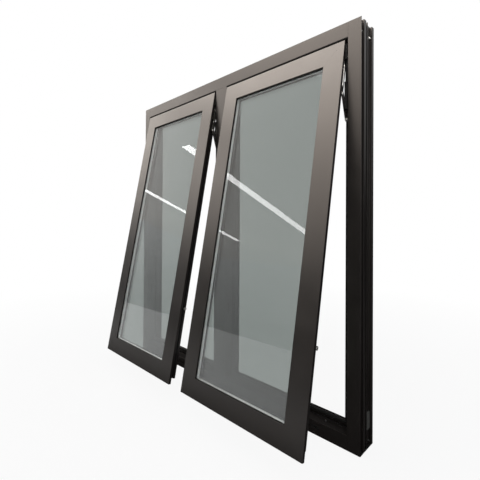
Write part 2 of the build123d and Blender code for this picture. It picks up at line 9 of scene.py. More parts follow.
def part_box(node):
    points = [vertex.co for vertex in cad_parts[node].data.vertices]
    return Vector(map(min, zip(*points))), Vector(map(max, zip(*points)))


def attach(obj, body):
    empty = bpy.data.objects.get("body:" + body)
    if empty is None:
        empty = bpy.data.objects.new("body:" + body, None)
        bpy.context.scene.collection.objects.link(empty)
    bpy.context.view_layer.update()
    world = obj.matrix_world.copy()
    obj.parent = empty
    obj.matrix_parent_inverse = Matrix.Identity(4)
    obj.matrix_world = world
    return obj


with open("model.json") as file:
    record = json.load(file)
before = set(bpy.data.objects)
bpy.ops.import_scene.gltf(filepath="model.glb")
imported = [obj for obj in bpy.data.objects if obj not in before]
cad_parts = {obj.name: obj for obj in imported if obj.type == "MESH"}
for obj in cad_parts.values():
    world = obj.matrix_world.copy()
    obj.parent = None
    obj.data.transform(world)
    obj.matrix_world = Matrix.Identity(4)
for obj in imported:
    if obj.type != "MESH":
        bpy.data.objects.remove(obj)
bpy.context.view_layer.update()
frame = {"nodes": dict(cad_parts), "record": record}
NODES = frame["nodes"]
BODY = "root"

# All lengths are in metres, and sizes of screws and rivets are (radius, height)

# Camera, fitted to the photograph
CAMERA_AZIMUTH = math.radians(45.087)
CAMERA_ELEVATION = math.radians(-0.46)
CAMERA_ROLL = math.radians(0.357)
CAMERA_PLACE = (1.172971, -1.219771, 0.787857)
CAMERA_FOCAL_PIXELS = 334.092
CAMERA_CENTRE = (227.256, 220.786)
CAMERA_NEAR = 0.01
PICTURE_SIDE = 480
SENSOR_WIDTH = 36.0

# Places on the frame
FRONT_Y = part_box("head_outer")[0].y
HEAD_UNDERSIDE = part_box("head_outer")[0].z
HALF_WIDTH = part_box("right_jamb_outer")[1].x
REBATE_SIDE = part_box("right_jamb_outer")[0].x
MULLION_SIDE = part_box("mullion_outer")[1].x
SILL_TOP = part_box("sill_outer")[1].z
TRACK_Y = sum(corner.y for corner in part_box("right_stay_tracks")) / 2
LIGHT_CENTRE = (REBATE_SIDE + MULLION_SIDE) / 2
LIGHT_HALF_WIDTH = (REBATE_SIDE - MULLION_SIDE) / 2
SIGNS = (-1, 1)

# Hanging sashes: top outdoor edge, swing, and sizes measured on the sash
HANG_Y = FRONT_Y - 0.0034
HANG_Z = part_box("right_sash_top_rail")[1].z
SASH_LOW_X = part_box("right_sash_top_rail")[0].x
SASH_HIGH_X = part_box("right_sash_top_rail")[1].x
SASH_CENTRE = (SASH_LOW_X + SASH_HIGH_X) / 2
SASH_WIDTH = SASH_HIGH_X - SASH_LOW_X
OPEN_ANGLE = math.radians(11.0)
SASH_HEIGHT = 1.380
SASH_DEPTH = 0.044
SASH_FACE = 0.076
SASH_BODY_SIDE = SASH_WIDTH / 2 - 0.016
SIGHT_WIDTH = SASH_WIDTH - 2 * SASH_FACE
SIGHT_HEIGHT = SASH_HEIGHT - 2 * SASH_FACE

# Friction stays: arms on the sash, struts and tracks
ARM_DEPTH = 0.032
ARM_PACKER = 0.005
ARM_PLATE = 0.0025
ARM_SIDE = SASH_BODY_SIDE + ARM_PACKER + ARM_PLATE
ARM_SCREW_DROPS = (0.080, 0.140)
ARM_SCREW_SIZE = (0.0038, 0.0017)
STRUT_GAP = 0.001
STRUT_RISE = 0.085
ELBOW_DROP = 0.186
ELBOW_RIVET_SIZE = (0.0052, 0.0020)
FOOT_RIVET_SIZE = (0.0052, 0.0018)
TRACK_WALL = 0.0012
TRACK_HEIGHT = 0.0045
TRACK_SCREW_HEIGHTS = (1.4215, 1.3300, 1.2050, 1.1420)
TRACK_SCREW_SIZE = (0.0036, 0.0016)

# Pressed rib of an arm, and a stay's black blocks, painted shade between the arm and the track: near and
# far behind the front, low and high
RIB_DEPTH = 0.0310
RIB_DROP = 0.108
RIB_LENGTH = 0.100
RIB_HALF_WIDTH = 0.0050
RIB_HEIGHT = 0.0042
RIB_TAPER = ((0.0, 0.15), (0.03, 0.70), (0.07, 1.0), (0.93, 1.0), (0.97, 0.70), (1.0, 0.15))
RIB_STEPS = 12
STAY_SHADE_BLOCKS = (
    (0.0005, 0.0300, 1.1950, 1.2920),
    (0.0082, 0.0300, 1.2915, 1.3720),
    (0.0005, 0.0090, 1.3715, 1.4250),
)
STAY_SHADE_BLOCK_REACH = 0.0047
STAY_SHADE_BLOCK_CORNER = 0.0008

# Black rubber strip under the head, over each sash, as painted shade in the gap above the sash
STRIP_END_GAP = 0.0005
STRIP_PROUD = 0.0003
STRIP_DEPTH = 0.0300
STRIP_DROP = 0.0016
STRIP_LIP = 0.0028
STRIP_CORNER = 0.0004

# Jamb screws: recess from the side, depth behind the front, heights at the foot and the head
JAMB_SCREWS = (
    (0.009, 0.0155, 0.0100, 1.4570),
    (0.008, 0.0835, 0.0170, 1.4585),
)
JAMB_SCREW_SIZE = (0.0046, 0.0038)

# Pads at the jambs' feet: near and far behind the front, recess of the channel
END_PADS = (
    (0.0020, 0.0240, 0.0090),
    (0.0410, 0.0510, 0.0110),
    (0.0540, 0.0890, 0.0080),
)
END_PAD_SETBACK = 0.0003
END_PAD_HEIGHT = 0.0050
END_PAD_CORNER = 0.0004

# Lock: keepers in the rebate, rollers on the stiles
KEEPER_SCREW_DEPTH = 0.010
KEEPER_HEIGHT = 0.003
KEEPER_SCREW_OFFSETS = (-0.017, 0.017)
KEEPER_SCREW_SIZE = (0.0034, 0.0013)
ROLLER_REACH = 0.010
ROLLER_DROP = 1.055
ROLLER_CAP_SIZE = (0.0052, 0.0011)

# Sill: screws in the rebate, and weep slots' rims as (inset, height) on their outline
SILL_SCREW_OFFSET = 0.2085
SILL_SCREW_DEPTH = 0.0276
SILL_SCREW_SIZE = (0.0042, 0.0024)
WEEP_OFFSET = 0.1805
WEEP_HEIGHT = 0.029
WEEP_LENGTH = 0.0325
WEEP_WIDTH = 0.0115
WEEP_CORNER = 0.0057
WEEP_RIM = (
    (0.0, -0.0002), (0.0, 0.0008), (0.0013, 0.0013),
    (0.0063, 0.0013), (0.0073, 0.0008), (0.0073, -0.0018),
)

# Plugs over the jambs' service slots, as (inset, corner's cut, height) on their outline
PLUG_RECESS = 0.0080
PLUG_DEPTH = 0.0733
PLUG_CENTRE_HEIGHT = 0.092
PLUG_LENGTH = 0.0610
PLUG_WIDTH = 0.0284
PLUG_CORNER = 0.0045
PLUG_PROFILE = (
    (0.0, 0.0, -0.0002), (0.0, 0.0, 0.0038), (0.0012, 0.0004, 0.0044), (0.0060, 0.0020, 0.0044),
    (0.0070, 0.0022, 0.0036), (0.0230, 0.0024, 0.0036), (0.0240, 0.0025, 0.0044),
)

# Glazing sections: distance in from the sash's sight edge, and depth behind its outdoor face
OUTDOOR_LIP = (
    (0.0, 0.0034), (0.0009, 0.0036), (0.0017, 0.0046),
    (0.0019, 0.0060), (0.0016, 0.0070), (0.0, 0.0070),
)
INDOOR_LIP = (
    (0.0, 0.0310), (0.0016, 0.0310), (0.0019, 0.0320),
    (0.0017, 0.0334), (0.0009, 0.0345), (0.0, 0.0347),
)
DRIP_STRIP = (
    (0.0, 0.0032), (0.0056, 0.0036), (0.0064, 0.0046),
    (0.0066, 0.0060), (0.0063, 0.0070), (0.0, 0.0070),
)
SPACER_RIM = -0.0040
TRIM_OVERLAP = 0.0002
TRIM_RIM = 0.0024
TRIM_NEAR = 0.0134
TRIM_FAR = 0.0246
TRIM_RADIUS = 0.0014
TRIM_STEPS = 4
BUTYL_DEPTHS = ((0.0120, 0.0126), (0.0254, 0.0260))
BUTYL_HIDDEN = 0.0010
BUTYL_SHOWN = 0.0005

# Handles
HANDLE_BASE_HEIGHT = 0.009
HANDLE_RISE = 0.036
HANDLE_CAP_OFFSETS = (-0.043, 0.043)
HANDLE_CAP_SIZE = (0.0058, 0.0011)

# Heads of screws and rivets, as shares of (radius, height)
SCREW_RIM = (
    (1.00, 0.00), (1.00, 0.35), (0.97, 0.58), (0.88, 0.78), (0.74, 0.91), (0.60, 0.97), (0.52, 0.99),
)
SCREW_RECESS = ((0.50, 0.25), (0.34, 0.62), (0.16, 0.72))
SCREW_SEGMENTS = 32
SCREW_ARM_STEPS = (0, 1, 7)
RECESS_FLOOR = 0.2
RIVET_PROFILE = (
    (1.00, 0.00), (1.00, 0.30), (0.93, 0.60), (0.78, 0.84),
    (0.58, 0.97), (0.42, 1.00), (0.32, 0.90), (0.14, 0.78),
)
RIVET_SEGMENTS = 24

# Rounding of the extrusions' and fittings' edges
COAT_ROUNDING = 0.0005
METAL_ROUNDING = 0.0004
RUBBER_ROUNDING = 0.0006
ROUNDING_SEGMENTS = 2
SHARP_ANGLE = math.radians(35)
MITRE_LEAN = 0.3
MITRE_SHARE = 0.2
WELD_DISTANCE = 1e-5
DOUBLES_DISTANCE = 1e-6

# Studio: world, floor, ceiling with a dimmer patch, and what satin faces mirror
WORLD_COLOUR = (0.95, 0.97, 1.0, 1)
WORLD_STRENGTH = 0.42
WHITE = (1, 1, 1, 1)
FLOOR_REACH = 30.0
FLOOR_LEVEL = -0.0004
FLOOR_WHITE_NEAR = 0.90
FLOOR_FADE = (0.8, 3.0)
CEILING_HEIGHT = 3.2
CEILING_CORNERS = ((-11, -11), (-6.4, -11), (1.6, -4.0), (1.6, -0.4), (-11, -0.4))
CEILING_COLOUR = (1.0, 0.93, 0.86, 1)
CEILING_GLOW = 15.5
CEILING_PEAK = 9.0
CEILING_STRETCH = (0.65, 1, 0)
CEILING_PATCH = (-2.9, -2.2)
CEILING_PATCH_SIZE = (1.2, 2.2, 1.0)
CEILING_PATCH_SHARE = 0.40
CEILING_PATCH_FADE = (0.2, 1.0)

# Screens: ends on the floor, height, and the heights between which the cloth thins out
SCREENS = {
    "low": ((-14, -1.5), (-4.9, -10.25), 5, (0.4, 3.4)),
    "front": ((-4.9, -10.25), (-1, -14), 9, (3.0, 8.5)),
    "back": ((-0.9, 7.1), (10.4, 2.5), 7, (1.2, 6.0)),
    "left": ((-12, 2.0), (-0.9, 7.1), 14, (8.0, 14.0)),
}

# Mats: left and right, near and far
MAT_LEVEL = 0.0002
MATS = {
    "near_mat": ((-1.6, 1.3), (0.0, -0.75)),
    "far_mat": ((-8.0, 1.0), (-1.7, -12.0)),
    "back_mat": ((0.60, 8.0), (0.0, 8.0)),
    "left_mat": ((-3.0, 0.1), (0.8, 4.0)),
}

# Lamps: centre, width, length, radiance, and what the turned ones are aimed at
LAMPS = {
    "overhead": ((0.4, -0.9, 3.1), 2.2, 1.6, 0.9, None),
    "fill": ((2.4, -2.8, 1.7), 1.4, 1.4, 4.0, (0.2, -0.1, 0.8)),
    "back_light": ((-5.6, 0.9, 2.2), 1.6, 1.6, 6.0, (0.0, -0.1, 0.8)),
    "middle_strip": ((-3.45, -4.60, 3.0), 0.22, 5.0, 9.0, None),
    "far_strip": ((-6.70, -4.80, 3.0), 0.22, 5.0, 9.0, None),
}


def add_camera():
    """Camera at the photograph's place, angle and framing."""
    back = Vector((
        math.sin(CAMERA_AZIMUTH) * math.cos(CAMERA_ELEVATION),
        -math.cos(CAMERA_AZIMUTH) * math.cos(CAMERA_ELEVATION),
        math.sin(CAMERA_ELEVATION),
    ))
    level = Vector((math.cos(CAMERA_AZIMUTH), math.sin(CAMERA_AZIMUTH), 0.0))
    rise = back.cross(level)
    right = math.cos(CAMERA_ROLL) * level + math.sin(CAMERA_ROLL) * rise
    up = back.cross(right)
    data = bpy.data.cameras.new("camera")
    data.sensor_width = SENSOR_WIDTH
    data.lens = CAMERA_FOCAL_PIXELS / PICTURE_SIDE * SENSOR_WIDTH
    data.shift_x = (PICTURE_SIDE / 2 - CAMERA_CENTRE[0]) / PICTURE_SIDE
    data.shift_y = (CAMERA_CENTRE[1] - PICTURE_SIDE / 2) / PICTURE_SIDE
    data.clip_start = CAMERA_NEAR
    camera = bpy.data.objects.new("camera", data)
    bpy.context.scene.collection.objects.link(camera)
    turn = Matrix((right, up, back)).transposed().to_4x4()
    camera.matrix_world = Matrix.Translation(CAMERA_PLACE) @ turn
    bpy.context.scene.camera = camera


# Materials
def new_material(name):
    """Empty material with its node tree and main shader."""
    made = bpy.data.materials.new(name)
    made.use_nodes = True
    return made, made.node_tree, made.node_tree.nodes["Principled BSDF"]


def own_place(tree):
    """Place on the piece, in the part's own metres."""
    return tree.nodes.new("ShaderNodeTexCoord").outputs["Object"]


def noise(tree, scale, detail=3.0, stretch=(1, 1, 1), turn=0.0):
    """Noise in the part's own metres, stretched along its axes and turned about x."""
    mapping = tree.nodes.new("ShaderNodeMapping")
    mapping.inputs["Scale"].default_value = stretch
    mapping.inputs["Rotation"].default_value = (turn, 0, 0)
    texture = tree.nodes.new("ShaderNodeTexNoise")
    texture.inputs["Scale"].default_value = scale
    texture.inputs["Detail"].default_value = detail
    tree.links.new(own_place(tree), mapping.inputs["Vector"])
    tree.links.new(mapping.outputs["Vector"], texture.inputs["Vector"])
    return texture.outputs["Fac"]


def spread(tree, value, low, high, start=0.3, end=0.7):
    """Value mapped from its usual range to low..high."""
    node = tree.nodes.new("ShaderNodeMapRange")
    node.inputs["From Min"].default_value = start
    node.inputs["From Max"].default_value = end
    node.inputs["To Min"].default_value = low
    node.inputs["To Max"].default_value = high
    tree.links.new(value, node.inputs["Value"])
    return node.outputs["Result"]


def between(tree, value, first, second, start=0.3, end=0.7):
    """Colour that goes from the first to the second as the value rises."""
    node = tree.nodes.new("ShaderNodeValToRGB")
    node.color_ramp.elements[0].position = start
    node.color_ramp.elements[0].color = (*first, 1)
    node.color_ramp.elements[1].position = end
    node.color_ramp.elements[1].color = (*second, 1)
    tree.links.new(value, node.inputs["Fac"])
    return node.outputs["Color"]


def bump(tree, shader, height, strength, distance):
    """Fine relief on the shader's surface."""
    node = tree.nodes.new("ShaderNodeBump")
    node.inputs["Strength"].default_value = strength
    node.inputs["Distance"].default_value = distance
    tree.links.new(height, node.inputs["Height"])
    tree.links.new(node.outputs["Normal"], shader.inputs["Normal"])


def math_node(tree, operation, first, second):
    """Math node on two inputs, each a socket or a number."""
    node = tree.nodes.new("ShaderNodeMath")
    node.operation = operation
    for index, value in enumerate((first, second)):
        if isinstance(value, (int, float)):
            node.inputs[index].default_value = value
        else:
            tree.links.new(value, node.inputs[index])
    return node.outputs[0]


def length_of(tree, vector):
    """Length of a vector."""
    node = tree.nodes.new("ShaderNodeVectorMath")
    node.operation = "LENGTH"
    tree.links.new(vector, node.inputs[0])
    return node.outputs["Value"]


def split(tree, vector):
    """Outputs X, Y and Z of a vector."""
    node = tree.nodes.new("ShaderNodeSeparateXYZ")
    tree.links.new(vector, node.inputs["Vector"])
    return node.outputs


def show_mix(tree, output, factor, first, second):
    """Show the first shader on the output, and the second as the factor rises."""
    mix = tree.nodes.new("ShaderNodeMixShader")
    tree.links.new(factor, mix.inputs["Fac"])
    tree.links.new(first, mix.inputs[1])
    tree.links.new(second, mix.inputs[2])
    tree.links.new(mix.outputs["Shader"], tree.nodes[output].inputs["Surface"])


def powder_coat(name, dark, light):
    """Satin powder coat: slightly cloudy colour and gloss over a fine orange-peel skin."""
    made, tree, shader = new_material(name)
    cloud = noise(tree, 3.5, detail=5.0)
    tree.links.new(between(tree, cloud, dark, light), shader.inputs["Base Color"])
    smudge = noise(tree, 9.0, detail=6.0)
    tree.links.new(spread(tree, smudge, 0.30, 0.37), shader.inputs["Roughness"])
    shader.inputs["Specular IOR Level"].default_value = 0.5
    shader.inputs["Specular Tint"].default_value = (1.0, 0.94, 0.90, 1)
    bump(tree, shader, noise(tree, 1300.0, detail=1.0), strength=0.10, distance=0.0001)
    return made


def moulded(name, dark, light, roughness, grain, gloss=0.35):
    """Matt plastic, rubber or cloth with a fine grain."""
    made, tree, shader = new_material(name)
    cloud = noise(tree, 60.0, detail=4.0)
    tree.links.new(between(tree, cloud, dark, light), shader.inputs["Base Color"])
    low, high = roughness
    tree.links.new(spread(tree, noise(tree, 25.0), low, high), shader.inputs["Roughness"])
    shader.inputs["Specular IOR Level"].default_value = gloss
    bump(tree, shader, noise(tree, grain, detail=2.0), strength=0.2, distance=0.0002)
    return made


def brushed_metal(name, dark, light, roughness, stretch, turn=0.0):
    """Metal with fine lines drawn along one axis."""
    made, tree, shader = new_material(name)
    lines = noise(tree, 300.0, detail=4.0, stretch=stretch, turn=turn)
    tree.links.new(between(tree, lines, dark, light), shader.inputs["Base Color"])
    low, high = roughness
    tree.links.new(spread(tree, lines, low, high), shader.inputs["Roughness"])
    shader.inputs["Metallic"].default_value = 1.0
    bump(tree, shader, lines, strength=0.15, distance=0.00005)
    return made


def float_glass(name, thin, thick):
    """Float glass with a faint roller wave and a tint that varies a little."""
    made, tree, shader = new_material(name)
    tree.links.new(between(tree, noise(tree, 1.5), thin, thick), shader.inputs["Base Color"])
    shader.inputs["Roughness"].default_value = 0.0
    shader.inputs["Transmission Weight"].default_value = 1.0
    shader.inputs["IOR"].default_value = 1.5
    wave = noise(tree, 3.0, detail=0.0, stretch=(1, 1, 3))
    bump(tree, shader, wave, strength=0.02, distance=0.002)
    return made


def spacer_metal():
    """Silver spacer bar with the rows of small breathing holes along its inner face."""
    hole_pitch, hole_radius = 0.003, 0.0006
    made, tree, shader = new_material("spacer")
    parts = split(tree, own_place(tree))
    along = math_node(tree, "ADD", parts["X"], parts["Z"])
    step = math_node(tree, "PINGPONG", along, hole_pitch)
    hole = math_node(tree, "LESS_THAN", step, hole_radius)
    lines = noise(tree, 250.0, detail=3.0, stretch=(1, 6, 1))
    silver = between(tree, lines, (0.62, 0.63, 0.64), (0.80, 0.81, 0.82))
    dotted = tree.nodes.new("ShaderNodeMix")
    dotted.data_type = "RGBA"
    tree.links.new(hole, dotted.inputs["Factor"])
    tree.links.new(silver, dotted.inputs["A"])
    dotted.inputs["B"].default_value = (0.42, 0.43, 0.44, 1)
    tree.links.new(dotted.outputs["Result"], shader.inputs["Base Color"])
    tree.links.new(spread(tree, lines, 0.28, 0.42), shader.inputs["Roughness"])
    shader.inputs["Metallic"].default_value = 0.8
    bump(tree, shader, step, strength=0.1, distance=0.0002)
    return made


COAT = powder_coat("powder_coat", (0.0066, 0.0055, 0.0051), (0.0088, 0.0074, 0.0068))
HANDLE_COAT = powder_coat("handle_coat", (0.0064, 0.0054, 0.0050), (0.0085, 0.0072, 0.0066))
POLYAMIDE = moulded(
    "polyamide", (0.006, 0.006, 0.006), (0.010, 0.010, 0.010),
    roughness=(0.60, 0.72), grain=2200.0, gloss=0.15,
)
RUBBER = moulded(
    "seal_rubber", (0.006, 0.006, 0.006), (0.011, 0.011, 0.010),
    roughness=(0.64, 0.78), grain=1500.0, gloss=0.08,
)
GREY_PLASTIC = moulded(
    "grey_plastic", (0.047, 0.048, 0.044), (0.062, 0.063, 0.058),
    roughness=(0.50, 0.62), grain=1800.0,
)
STAINLESS = brushed_metal(
    "stainless", (0.52, 0.51, 0.49), (0.66, 0.65, 0.63),
    roughness=(0.24, 0.36), stretch=(6, 6, 0.4), turn=OPEN_ANGLE,
)
ZINC = brushed_metal(
    "zinc", (0.035, 0.035, 0.036), (0.065, 0.065, 0.066),
    roughness=(0.34, 0.46), stretch=(1, 1, 1),
)
SCREW_STEEL = brushed_metal(
    "screw_steel", (0.66, 0.66, 0.64), (0.82, 0.82, 0.80),
    roughness=(0.20, 0.30), stretch=(2, 2, 2),
)
CLEAR_GLASS = float_glass("clear_glass", (0.930, 0.955, 0.945), (0.940, 0.962, 0.953))
# The inner pane's dark grey tint is painted shade: it darkens what is seen through the glass, as a dim room
# behind it would.
SHADE_TINTED_GLASS = float_glass("shade_tinted_glass", (0.178, 0.200, 0.191), (0.191, 0.212, 0.203))
SPACER = spacer_metal()
SLOT_MATERIALS = {
    "powder_coat": COAT,
    "handle": HANDLE_COAT,
    "polyamide": POLYAMIDE,
    "seal_rubber": RUBBER,
    "stainless": STAINLESS,
    "zinc": ZINC,
    "glass": CLEAR_GLASS,
    "spacer": SPACER,
}
ROUNDING = {
    "powder_coat": COAT_ROUNDING,
    "handle": 2 * COAT_ROUNDING,
    "stainless": METAL_ROUNDING,
    "zinc": METAL_ROUNDING,
    "seal_rubber": RUBBER_ROUNDING,
}


# Rounded edges on the solids
def weld_group():
    """Node group that joins a solid's faces, shades it smooth and weighs its sharp edges' rounding.

    Edges of a mitre cut, whose face leans both ways, get a small share of the rounding.
    """
    group = bpy.data.node_groups.new("joined_faces", "GeometryNodeTree")
    for direction in ("INPUT", "OUTPUT"):
        group.interface.new_socket("Geometry", in_out=direction, socket_type="NodeSocketGeometry")
    start = group.nodes.new("NodeGroupInput")
    end = group.nodes.new("NodeGroupOutput")
    merge = group.nodes.new("GeometryNodeMergeByDistance")
    merge.inputs["Distance"].default_value = WELD_DISTANCE
    angle = group.nodes.new("GeometryNodeInputMeshEdgeAngle")
    sharp = group.nodes.new("FunctionNodeCompare")
    sharp.operation = "GREATER_THAN"
    sharp.inputs["B"].default_value = SHARP_ANGLE
    normal = group.nodes.new("GeometryNodeSetMeshNormal")
    links = group.links
    face = split(group, group.nodes.new("GeometryNodeInputNormal").outputs["Normal"])
    lean = math_node(group, "MULTIPLY", face["X"], face["Z"])
    lean = math_node(group, "ABSOLUTE", lean, 0.0)
    on_face = group.nodes.new("GeometryNodeFieldOnDomain")
    on_face.domain = "FACE"
    links.new(math_node(group, "GREATER_THAN", lean, MITRE_LEAN), on_face.inputs["Value"])
    beside = math_node(group, "GREATER_THAN", on_face.outputs["Value"], 0.1)
    cut = math_node(group, "MULTIPLY", beside, 1.0 - MITRE_SHARE)
    share = math_node(group, "SUBTRACT", 1.0, cut)
    weight = group.nodes.new("GeometryNodeStoreNamedAttribute")
    weight.data_type = "FLOAT"
    weight.domain = "EDGE"
    weight.inputs["Name"].default_value = "bevel_weight_edge"
    rounding = math_node(group, "MULTIPLY", share, sharp.outputs["Result"])
    links.new(rounding, weight.inputs["Value"])
    links.new(start.outputs[0], merge.inputs["Geometry"])
    links.new(merge.outputs["Geometry"], normal.inputs["Mesh"])
    links.new(angle.outputs["Unsigned Angle"], sharp.inputs["A"])
    links.new(sharp.outputs["Result"], normal.inputs["Edge Sharpness"])
    links.new(normal.outputs["Mesh"], weight.inputs["Geometry"])
    links.new(weight.outputs["Geometry"], end.inputs[0])
    return group


JOINED_FACES = weld_group()


def round_edges(piece, width):
    """Give a solid the small radius that its edges really have."""
    join = piece.modifiers.new("joined", "NODES")
    join.node_group = JOINED_FACES
    if width:
        bevel = piece.modifiers.new("rounded", "BEVEL")
        bevel.width = width
        bevel.segments = ROUNDING_SEGMENTS
        bevel.limit_method = "WEIGHT"
        bevel.harden_normals = True


def dress_nodes():
    """Material and edge rounding of every solid, by its slot in the record."""
    for part in frame["record"]["subparts"]:
        node = NODES[part["node"]]
        slot = part["material_slot"]
        node.data.materials.clear()
        # Inner panes take the dark tint, painted shade for the room behind the glass.
        shade_tinted = part["node"].endswith("inner_pane")
        node.data.materials.append(SHADE_TINTED_GLASS if shade_tinted else SLOT_MATERIALS[slot])
        round_edges(node, ROUNDING.get(slot, 0.0))
        if slot == "glass":
            node.visible_shadow = False


# Shapes of the small pieces
def finish_piece(name, shape, material):
    """Turn a bmesh into a piece that rides on the window."""
    bmesh.ops.remove_doubles(shape, verts=shape.verts, dist=DOUBLES_DISTANCE)
    bmesh.ops.recalc_face_normals(shape, faces=shape.faces)
    mesh = bpy.data.meshes.new(name)
    shape.to_mesh(mesh)
    shape.free()
    mesh.materials.append(material)
    piece = bpy.data.objects.new(name, mesh)
    bpy.context.scene.collection.objects.link(piece)
    round_edges(piece, 0.0)
    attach(piece, BODY)


def facing(origin, direction):
    """Matrix whose z axis points along the direction."""
    turn = Vector(direction).to_track_quat("Z", "Y").to_matrix().to_4x4()
    return Matrix.Translation(origin) @ turn


def lying(origin, along, out):
    """Matrix whose x axis points along one direction and whose z axis points out in another."""
    place = Matrix((along, out.cross(along), out)).transposed().to_4x4()
    place.translation = origin
    return place


def sash_matrix(light):
    """Carries sash places (across, depth, height below the top edge) to where the sash hangs."""
    hang = Matrix.Translation((light * SASH_CENTRE, HANG_Y, HANG_Z))
    return hang @ Matrix.Rotation(-OPEN_ANGLE, 4, "X")


def rebate_face(light, hand):
    """Place along x of a light's left or right rebate."""
    return light * LIGHT_CENTRE + hand * LIGHT_HALF_WIDTH


def add_grid(shape, rows, closed_rows=False):
    """Quads between rows of points that each close on themselves."""
    made = [[shape.verts.new(point) for point in row] for row in rows]
    pairs = list(zip(made, made[1:]))
    if closed_rows:
        pairs.append((made[-1], made[0]))
    count = len(rows[0])
    for low, high in pairs:
        for index in range(count):
            after = (index + 1) % count
            shape.faces.new((low[index], low[after], high[after], high[index]))
    return made


def add_solid(shape, rows):
    """Quads between rows of points, closed by a face over the first and the last row."""
    made = add_grid(shape, rows)
    shape.faces.new(made[0])
    shape.faces.new(made[-1])


def circle(radius, height, segments):
    """Points of a level circle."""
    turns = [2 * math.pi * index / segments for index in range(segments)]
    return [Vector((radius * math.cos(turn), radius * math.sin(turn), height)) for turn in turns]


def add_screw(shape, place, size):
    """Pan head with a cross recess, standing on the place's xy plane."""
    radius, height = size
    rows = []
    for reach, rise in SCREW_RIM:
        points = circle(radius * reach, height * rise, SCREW_SEGMENTS)
        rows.append([place @ point for point in points])
    for reach, depth in SCREW_RECESS:
        row = []
        for index, point in enumerate(circle(radius * reach, 0.0, SCREW_SEGMENTS)):
            in_arm = index % (SCREW_SEGMENTS // 4) in SCREW_ARM_STEPS
            point.z = height * (1.0 - (depth if in_arm or reach < RECESS_FLOOR else 0.0))
            row.append(place @ point)
        rows.append(row)
    add_solid(shape, rows)


def add_rivet(shape, place, size):
    """Domed rivet head with a shallow dimple."""
    radius, height = size
    rows = []
    for reach, rise in RIVET_PROFILE:
        points = circle(radius * reach, height * rise, RIVET_SEGMENTS)
        rows.append([place @ point for point in points])
    add_solid(shape, rows)


def plate(length, width, corner, height, segments=6):
    """Level outline with rounded corners, its length along x."""
    points = []
    for quarter, (end, side) in enumerate(((1, 1), (-1, 1), (-1, -1), (1, -1))):
        for index in range(segments + 1):
            turn = math.pi / 2 * (quarter + index / segments)
            points.append(Vector((
                end * (length / 2 - corner) + corner * math.cos(turn),
                side * (width / 2 - corner) + corner * math.sin(turn),
                height,
            )))
    return points


def add_frame_ring(shape, place, width, height, section):
    """Closed moulding round a rectangle: section points are (distance in from its edge, depth)."""
    rows = []
    for across, up in ((-1, -1), (1, -1), (1, 1), (-1, 1)):
        row = []
        for inset, depth in section:
            corner = Vector((across * (width / 2 - inset), depth, up * (height / 2 - inset)))
            row.append(place @ corner)
        rows.append(row)
    add_grid(shape, rows, closed_rows=True)


def add_rib(shape, place):
    """Half-round bead along the place's x axis with tapered ends, standing on its xy plane."""
    rows = []
    for along, size in RIB_TAPER:
        row = []
        for index in range(RIB_STEPS + 1):
            turn = math.pi * index / RIB_STEPS
            across = RIB_HALF_WIDTH * size * math.cos(turn)
            rise = RIB_HEIGHT * size * math.sin(turn)
            row.append(place @ Vector((RIB_LENGTH * (along - 0.5), across, rise)))
        rows.append(row)
    add_solid(shape, rows)


def add_block(shape, low, high, corner):
    """Box between two corners with its upright and level edges cut back."""
    rows = []
    levels = ((low.z, corner), (low.z + corner, 0.0), (high.z - corner, 0.0), (high.z, corner))
    for height, inset in levels:
        xs = (low.x + inset, high.x - inset)
        ys = (low.y + inset, high.y - inset)
        rows.append([
            Vector((xs[0] + corner, ys[0], height)), Vector((xs[1] - corner, ys[0], height)),
            Vector((xs[1], ys[0] + corner, height)), Vector((xs[1], ys[1] - corner, height)),
            Vector((xs[1] - corner, ys[1], height)), Vector((xs[0] + corner, ys[1], height)),
            Vector((xs[0], ys[1] - corner, height)), Vector((xs[0], ys[0] + corner, height)),
        ])
    add_solid(shape, rows)


# Small pieces
def jamb_screws():
    """Fixing screws of both jambs, in the recess and on the flat: bright steel at the head, and at the foot
    the same screws in black, as painted shade.
    """
    head = bmesh.new()
    foot = bmesh.new()
    for side in SIGNS:
        for recess, depth, low, high in JAMB_SCREWS:
            for shape, height in ((foot, low), (head, high)):
                origin = (side * (HALF_WIDTH - recess), FRONT_Y + depth, height)
                add_screw(shape, facing(origin, (side, 0, 0)), JAMB_SCREW_SIZE)
    finish_piece("jamb_screws", head, SCREW_STEEL)
    # The foot screws are black zinc as painted shade; the same screws at the head are bright steel.
    finish_piece("shaded_foot_screws", foot, ZINC)


def stay_fixings():
    """Screws of the stay tracks and arms, and the rivets of their pivots."""
    screws = bmesh.new()
    rivets = bmesh.new()
    for light in SIGNS:
        sash = sash_matrix(light)
        for hand in SIGNS:
            out, back = (hand, 0, 0), (-hand, 0, 0)
            floor_x = rebate_face(light, hand) - hand * TRACK_WALL
            for height in TRACK_SCREW_HEIGHTS:
                add_screw(screws, facing((floor_x, TRACK_Y, height), back), TRACK_SCREW_SIZE)
            for drop in ARM_SCREW_DROPS:
                origin = sash @ Vector((hand * ARM_SIDE, ARM_DEPTH, -drop))
                add_screw(screws, facing(origin, out), ARM_SCREW_SIZE)
            strut_side = hand * ARM_SIDE + hand * (STRUT_GAP + ARM_PLATE)
            elbow = sash @ Vector((strut_side, ARM_DEPTH, -ELBOW_DROP))
            add_rivet(rivets, facing(elbow, out), ELBOW_RIVET_SIZE)
            foot = Vector((elbow.x - hand * ARM_PLATE, TRACK_Y, elbow.z - STRUT_RISE))
            add_rivet(rivets, facing(foot, back), FOOT_RIVET_SIZE)
    finish_piece("stay_screws", screws, SCREW_STEEL)
    finish_piece("stay_rivets", rivets, STAINLESS)


